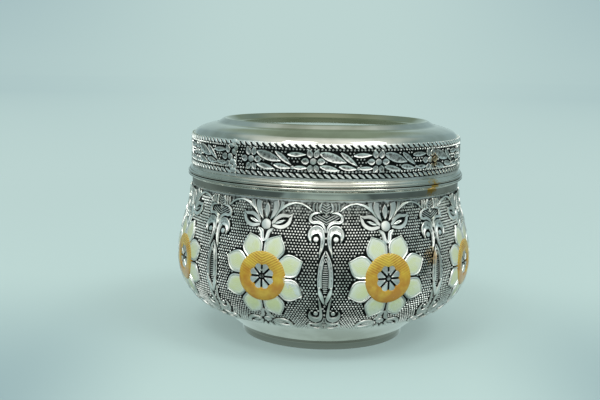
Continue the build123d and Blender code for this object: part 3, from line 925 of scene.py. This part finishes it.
size = add_node(stud_tree, "FunctionNodeRandomValue", {"data_type": "FLOAT"},
                {"Min": 0.88, "Max": 1.1, "Seed": 7})[1]
set_studs = add_node(stud_tree, "GeometryNodeInstanceOnPoints", None,
                     {"Points": free, "Instance": stud, "Rotation": facing, "Scale": size})[0]
copies_round(stud_tree, sockets, set_studs)


def bead(across, up, height, sides=6):
    """One low-sided bead, a half width across and a half width up, as a source for copies."""
    drawing = Drawing()
    rings = []
    for part, tall, shine in ((1.0, -0.12, 0.0), (0.94, 0.5, 0.8), (0.66, 0.9, 1.0)):
        rings.append([(part * across * cos(a), part * up * sin(a), tall * height, shine, 0.0, 0.0)
                      for a in (2 * pi * k / sides for k in range(sides))])
    drawing.loft(rings)
    top = len(drawing.points)
    drawing.points.append((0, 0, height))
    drawing.relief.append(1.0)
    drawing.plan.append((0.0, 0.0))
    drawing.faces += [(top - sides + k, top - sides + (k + 1) % sides, top) for k in range(sides)]
    drawing.faces.append(tuple(range(sides)))
    return placed("bead.source", drawing.wrap("bead", lambda x, y, h: Vector((x, y, h)) * MM))


def sites(name, place, rows, columns):
    """Bead places as loose points: rows of equal count, each second row shifted by half a step."""
    points, outward = [], []
    for number, level in enumerate(rows):
        for k, across in enumerate(columns):
            step = columns[1] - columns[0]
            x = across + (step / 2 if number % 2 else 0)
            points.append(place(x, level, 0.0))
            outward.append((place(x, level, 1.0) - points[-1]).normalized())
    mesh = bpy.data.meshes.new(name)
    mesh.from_pydata(points, [], [])
    layer = mesh.attributes.new("outward", "FLOAT_VECTOR", "POINT")
    layer.data.foreach_set("vector", [c for v in outward for c in v])
    return mesh


def joined(name, *pieces):
    """Copies of pieces in one object, to measure against."""
    work = bmesh.new()
    for piece in pieces:
        work.from_mesh(piece.data)
    mesh = bpy.data.meshes.new(name)
    work.to_mesh(mesh)
    work.free()
    return placed(name, mesh)


bead_columns, bead_pitch_up, bead_low, bead_high = 40, 1.09, -24.4, 30.2
bead_pitch = column_step / bead_columns
row_count = int((bead_high - bead_low) / bead_pitch_up)
belly_sites = sites("belly_sites", on_belly, [bead_low + k * bead_pitch_up for k in range(row_count)],
                    [(k - bead_columns / 2) * bead_pitch for k in range(bead_columns)])
bead_source = bead(0.5, 0.47, 0.4, sides=5)
keep_clear = joined("keep_clear", scrolls, sprigs, flowers, ring_fills)
beads = baked("belly_beads", belly_sites, stud_tree,
              {"Stud": bead_source, "Clear of": keep_clear, "Margin": 0.33 * MM, "Copies": sectors,
               "Pitch": 2 * pi / sectors}, embossed)
bpy.data.objects.remove(bead_source)
bpy.data.objects.remove(keep_clear)
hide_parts("belly_shell")
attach(beads, "box")

# Neck ring: a plain turned collar soldered on the belly's edge, hollowed out into the round flange
# that the lid comes down on.
neck_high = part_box("neck_ring")[1]
seat_z = neck_high.z / MM
flange_radius = neck_high.x / MM
flange_height = 1.1
neck_cove = 1.05
nose_centre = flange_radius - flange_height / 2
sleeve_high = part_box("seat_sleeve")[1]
sleeve_radius = sleeve_high.x / MM
cove_z = seat_z - flange_height - neck_cove
groove_in, groove_up, groove_ease = 0.4, 0.25, 0.15
neck_outline = [(sleeve_radius, neck_z)]
neck_outline += eased(((neck_radius - groove_in, neck_z, 0), (neck_radius, neck_z + groove_up, groove_ease),
                       (neck_radius, cove_z, 0)))
neck_outline += arc((nose_centre, cove_z), neck_cove, 180, 90, 8)
neck_outline += arc((nose_centre, seat_z - flange_height / 2), flange_height / 2, -90, 90, 10)
neck_outline += [(sleeve_radius, seat_z)]
neck_ring = turned("neck_collar", neck_outline, polished)
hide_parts("neck_ring")
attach(neck_ring, "box")

# Sleeve: a thin upright ring soldered inside the neck, over which the lid slips.
# It is hidden until the lid is lifted, and its mouth has a small chamfer.
sleeve_wall = 0.8
sleeve_top = sleeve_high.z / MM
sleeve_inner, edge_break = sleeve_radius - sleeve_wall, 0.2
seat_sleeve = turned("inner_sleeve", eased((
    (sleeve_radius, neck_z, 0), (sleeve_radius, sleeve_top, edge_break),
    (sleeve_inner, sleeve_top, edge_break), (sleeve_inner, neck_z, 0),
)), polished)
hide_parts("seat_sleeve")
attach(seat_sleeve, "box")

# Lid flange: the turned ring that closes on the neck ring and swells a little up to the embossed strip.
# Two round noses, this one and the neck's, meet at the dark joint line.
flange_low, flange_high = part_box("lid_flange")
lid_z = flange_low.z / MM
strip_z = flange_high.z / MM
strip_radius = 56.5
lid_clear = 0.3             # slip between sleeve and lid
lid_inner = sleeve_radius + lid_clear
lid_nose_z = lid_z + flange_height
flange_swell = 0.35
flange_outline = [(lid_inner, lid_z)]
flange_outline += arc((nose_centre, lid_z + flange_height / 2), flange_height / 2, -90, 90, 10)
flange_outline += hollow_line((nose_centre, lid_nose_z), (strip_radius, strip_z), -flange_swell, 6)[1:]
flange_outline += [(lid_inner, strip_z)]
lid_flange = turned("lid_collar", flange_outline, polished)
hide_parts("lid_flange")
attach(lid_flange, "lid")

# Lid crown: one spun and buffed sheet, from the skirt behind the strip over a round shoulder,
# up a sloping shelf to a raised rim, and down into the sunken middle.
crown_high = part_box("lid_crown")[1]
crown_radius = crown_high.x / MM
skirt_wall = 0.7
shoulder_radius, shoulder_turn, shoulder_z = 4.6, 74.6, 83.2
shelf_width = 6.3
rim_out, rim_rise = 3.4, 2.2            # from the shelf's end in and up to the rim's peak
rim_in, rim_fall = 3.8, 2.6             # from there in and down to the sunken middle
skirt_clear, rim_ease, shelf_ease = 3, 0.9, 1.0
shoulder_centre = (crown_radius - shoulder_radius, shoulder_z)
shelf_drop = tan(radians(90 - shoulder_turn))
shelf_top = arc(shoulder_centre, shoulder_radius, shoulder_turn, shoulder_turn, 1)[0]
shelf_end = (shelf_top[0] - shelf_width, shelf_top[1] + shelf_width * shelf_drop)
rim_peak = (shelf_end[0] - rim_out, shelf_end[1] + rim_rise)
recess_edge = (rim_peak[0] - rim_in, rim_peak[1] - rim_fall)
shelf_turn, shelf_swell = 66, 0.25      # where the shoulder runs into the shelf, and how far that swells
crown_line = [(crown_radius, strip_z), (crown_radius, shoulder_z - skirt_clear)]
crown_line += arc(shoulder_centre, shoulder_radius, 0, shelf_turn, 24)
crown_line += hollow_line(crown_line[-1], shelf_end, -shelf_swell, 12)[1:-2]
rest_of_crown = eased(((*crown_line[-1], 0), (*shelf_end, shelf_ease), (*rim_peak, rim_ease),
                       (*recess_edge, rim_ease), (0, recess_edge[1], 0)), steps=8)
crown_line += rest_of_crown[1:-1]
crown_line += [(recess_edge[0] * k / 8, recess_edge[1]) for k in range(7, -1, -1)]


def sheet_outline(line, wall):
    """Closed outline of a sheet: a line and the same line set in by the wall."""
    inner = []
    for i, point in enumerate(line):
        ahead = Vector(line[min(i + 1, len(line) - 1)]) - Vector(line[max(i - 1, 0)])
        away = Vector((-ahead.y, ahead.x)).normalized()
        x, z = Vector(point) + away * wall
        inner.append((max(x, 0.0), z))
    inner[-1] = (0.0, line[-1][1] - wall)
    return line + inner[::-1]


lid_crown = turned("lid_top", sheet_outline(crown_line, skirt_wall), polished)
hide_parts("lid_crown")
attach(lid_crown, "lid")

# Lid strip: an embossed and blackened band wrapped round the skirt, its upper edge pressed over the
# shoulder, its ends lapped and soldered at the left of the front.
strip_wall = 0.6
strip_curl = 23.0           # degrees of the shoulder that the strip's upper edge follows
strip_arc = shoulder_radius + strip_wall
strip_outline = [(crown_radius, strip_z)]
strip_outline += [(strip_radius, strip_z + up) for up in (0, 0.8, 1.0)] + [(strip_radius, shoulder_z)]
strip_outline += arc(shoulder_centre, strip_arc, 0, strip_curl, 8)[1:]
strip_outline += arc(shoulder_centre, shoulder_radius, strip_curl, 0, 8)


def on_strip(across, up, height):
    """A point of the flat strip wrapped round the lid: up is the height, and bends in over the shoulder."""
    turn = across / strip_radius
    lean = max(0.0, (up - shoulder_z) / strip_arc)
    radius = shoulder_centre[0] + (strip_arc + height) * cos(lean)
    z = min(up, shoulder_z) + (strip_arc + height) * sin(lean)
    return Vector((radius * sin(turn), -radius * cos(turn), z)) * MM


strip_wall_piece = turned("strip_ground", strip_outline, embossed)
strip_low, strip_high = 72.2, 84.95     # the blackened ground lies between these heights
rubbed_by_height(strip_wall_piece, strip_low, strip_high, lambda height: 0.0)
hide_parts("lid_strip")
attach(strip_wall_piece, "lid")

strip_flower_z, strip_height = 78.5, 0.5
strip_step, strip_first = 24.65, -29.9      # from one flower to the next, and the first one, from the front
leaf_profile = ((0.0, 0.0, 0.0), (0.06, 0.7, 0.7), (0.15, 1.0, 1.0), (0.34, 0.95, 0.9), (0.5, 0.8, 0.55))
garland = Drawing()


def leaf(drawing, tail, tip, half):
    """A flat pointed leaf with a sunk middle line, from its tail to its tip, from the flower's centre."""
    start, run = Vector(tail), Vector(tip) - Vector(tail)
    shape = ((0.0, 0.3), (0.18, 0.8), (0.45, 1.0), (0.75, 0.72), (1.0, 0.08))
    drawing.stroke([(*(start + run * part), half * width) for part, width in shape], strip_height, steps=3,
                   crown=(0.65, 0.5), edge=leaf_profile, blunt=False, mirror=False)


def strip_flower(drawing, sides):
    """A flower of a round middle and three petals to each of the given sides."""
    drawing.stud(0, 0.2, 1.3, strip_height * 1.1, mirror=False, sides=16)
    for side in sides:
        leaf(drawing, (side * 1.6, 0.15), (side * 4.5, 0.2), 1.3)
        leaf(drawing, (side * 0.85, 1.6), (side * 1.75, 4.6), 1.2)
        leaf(drawing, (side * 0.8, -1.3), (side * 1.6, -3.9), 1.15)


strip_flower(garland, (1, -1))
for tail, tip, half in (((2.6, 3.1), (12.3, -0.1), 1.75), ((2.5, -1.7), (9.8, -3.1), 1.15),
                        ((10.2, 3.5), (16.4, -1.4), 1.05), ((9.6, -1.6), (16.2, -2.6), 1.1),
                        ((strip_step - 9.6, 2.5), (strip_step - 2.6, 2.7), 1.0),
                        ((strip_step - 7.4, -2.3), (strip_step - 2.0, -2.3), 0.9)):
    leaf(garland, tail, tip, half)
garland.stud(16.9, -2.3, 0.75, strip_height, mirror=False, sides=10)
garland.moved(up=strip_flower_z)
strip_units = 14
garlands = ringed("lid_garland", garland, on_strip, embossed, strip_units,
                  First=strip_first / strip_radius, Pitch=strip_step / strip_radius)
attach(garlands, "lid")

# Lap: the strip's upper end cuts the last flower of the end below, and soft solder is smeared along it.
lap_across, cut_flower = -37.4, -40.2
lap = Drawing()
strip_flower(lap, (-1,))
lap.moved(across=cut_flower, up=strip_flower_z)
lap.stroke(((lap_across, 71.9, 0.25), (lap_across - 0.3, 75.0, 0.4), (lap_across + 0.2, 78.5, 0.3),
            (lap_across - 0.4, 81.8, 0.45), (lap_across, 85.2, 0.3)), 0.3, mirror=False)
for shift, up, radius, flat in ((-0.6, 84.6, 1.5, 0.6), (-1.9, 82.9, 1.1, 0.8), (0.4, 82.3, 0.9, 1.3),
                                (-0.9, 80.6, 1.0, 1.2), (-1.4, 76.9, 1.6, 0.7), (-0.3, 75.4, 1.0, 1.2),
                                (-2.4, 75.0, 1.1, 0.8), (-1.2, 73.6, 1.8, 0.6), (-3.0, 72.8, 1.1, 0.6)):
    lap.stud(lap_across + shift, up, radius, 0.6, mirror=False, sides=11, flat=flat)
lap_seam = ringed("lid_lap_seam", lap, on_strip, embossed, 1, Wander=wander * 3)
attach(lap_seam, "lid")

# Borders and ground: a rope along either edge of the strip, a row of beads inside each rope, and
# staggered rows of smaller beads between the leaves.
rope_rows, rope_turns = (84.3, 73.3), 137
rope = Drawing()
for middle in rope_rows:
    rope.stroke(((-1.2, middle + 0.7, 0.25), (0, middle, 0.6), (1.2, middle - 0.7, 0.25)), strip_height,
                steps=3, mirror=False)
ropes = ringed("lid_rope_borders", rope, on_strip, embossed, rope_turns)
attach(ropes, "lid")

border_rows, border_beads = (74.9, 83.0), 264
border_pitch = 2 * pi * strip_radius / border_beads
bead_source = bead(0.55, 0.46, 0.45)
border = sites("border_sites", on_strip, border_rows, [0.0, border_pitch])
keep_clear = joined("keep_clear", garlands, ropes, lap_seam)
strip_values = {"Stud": bead_source, "Clear of": keep_clear, "Margin": 0.0, "Copies": border_beads // 2,
                "Pitch": 4 * pi / border_beads}
border_piece = baked("lid_bead_rows", border, stud_tree, strip_values, embossed)
bpy.data.objects.remove(bead_source)
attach(border_piece, "lid")

bead_source = bead(0.46, 0.42, 0.42)
field_low, field_rows, field_pitch = 76.1, 6, 1.15
field = sites("field_sites", on_strip, [field_low + field_pitch * k for k in range(field_rows)],
              [strip_first + k * border_pitch for k in range(border_beads)])
field_beads = baked("lid_field_beads", field, stud_tree,
                    {**strip_values, "Stud": bead_source, "Margin": 0.42 * MM, "Copies": 1, "Pitch": 0.0},
                    embossed)
bpy.data.objects.remove(bead_source)
bpy.data.objects.remove(keep_clear)
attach(field_beads, "lid")
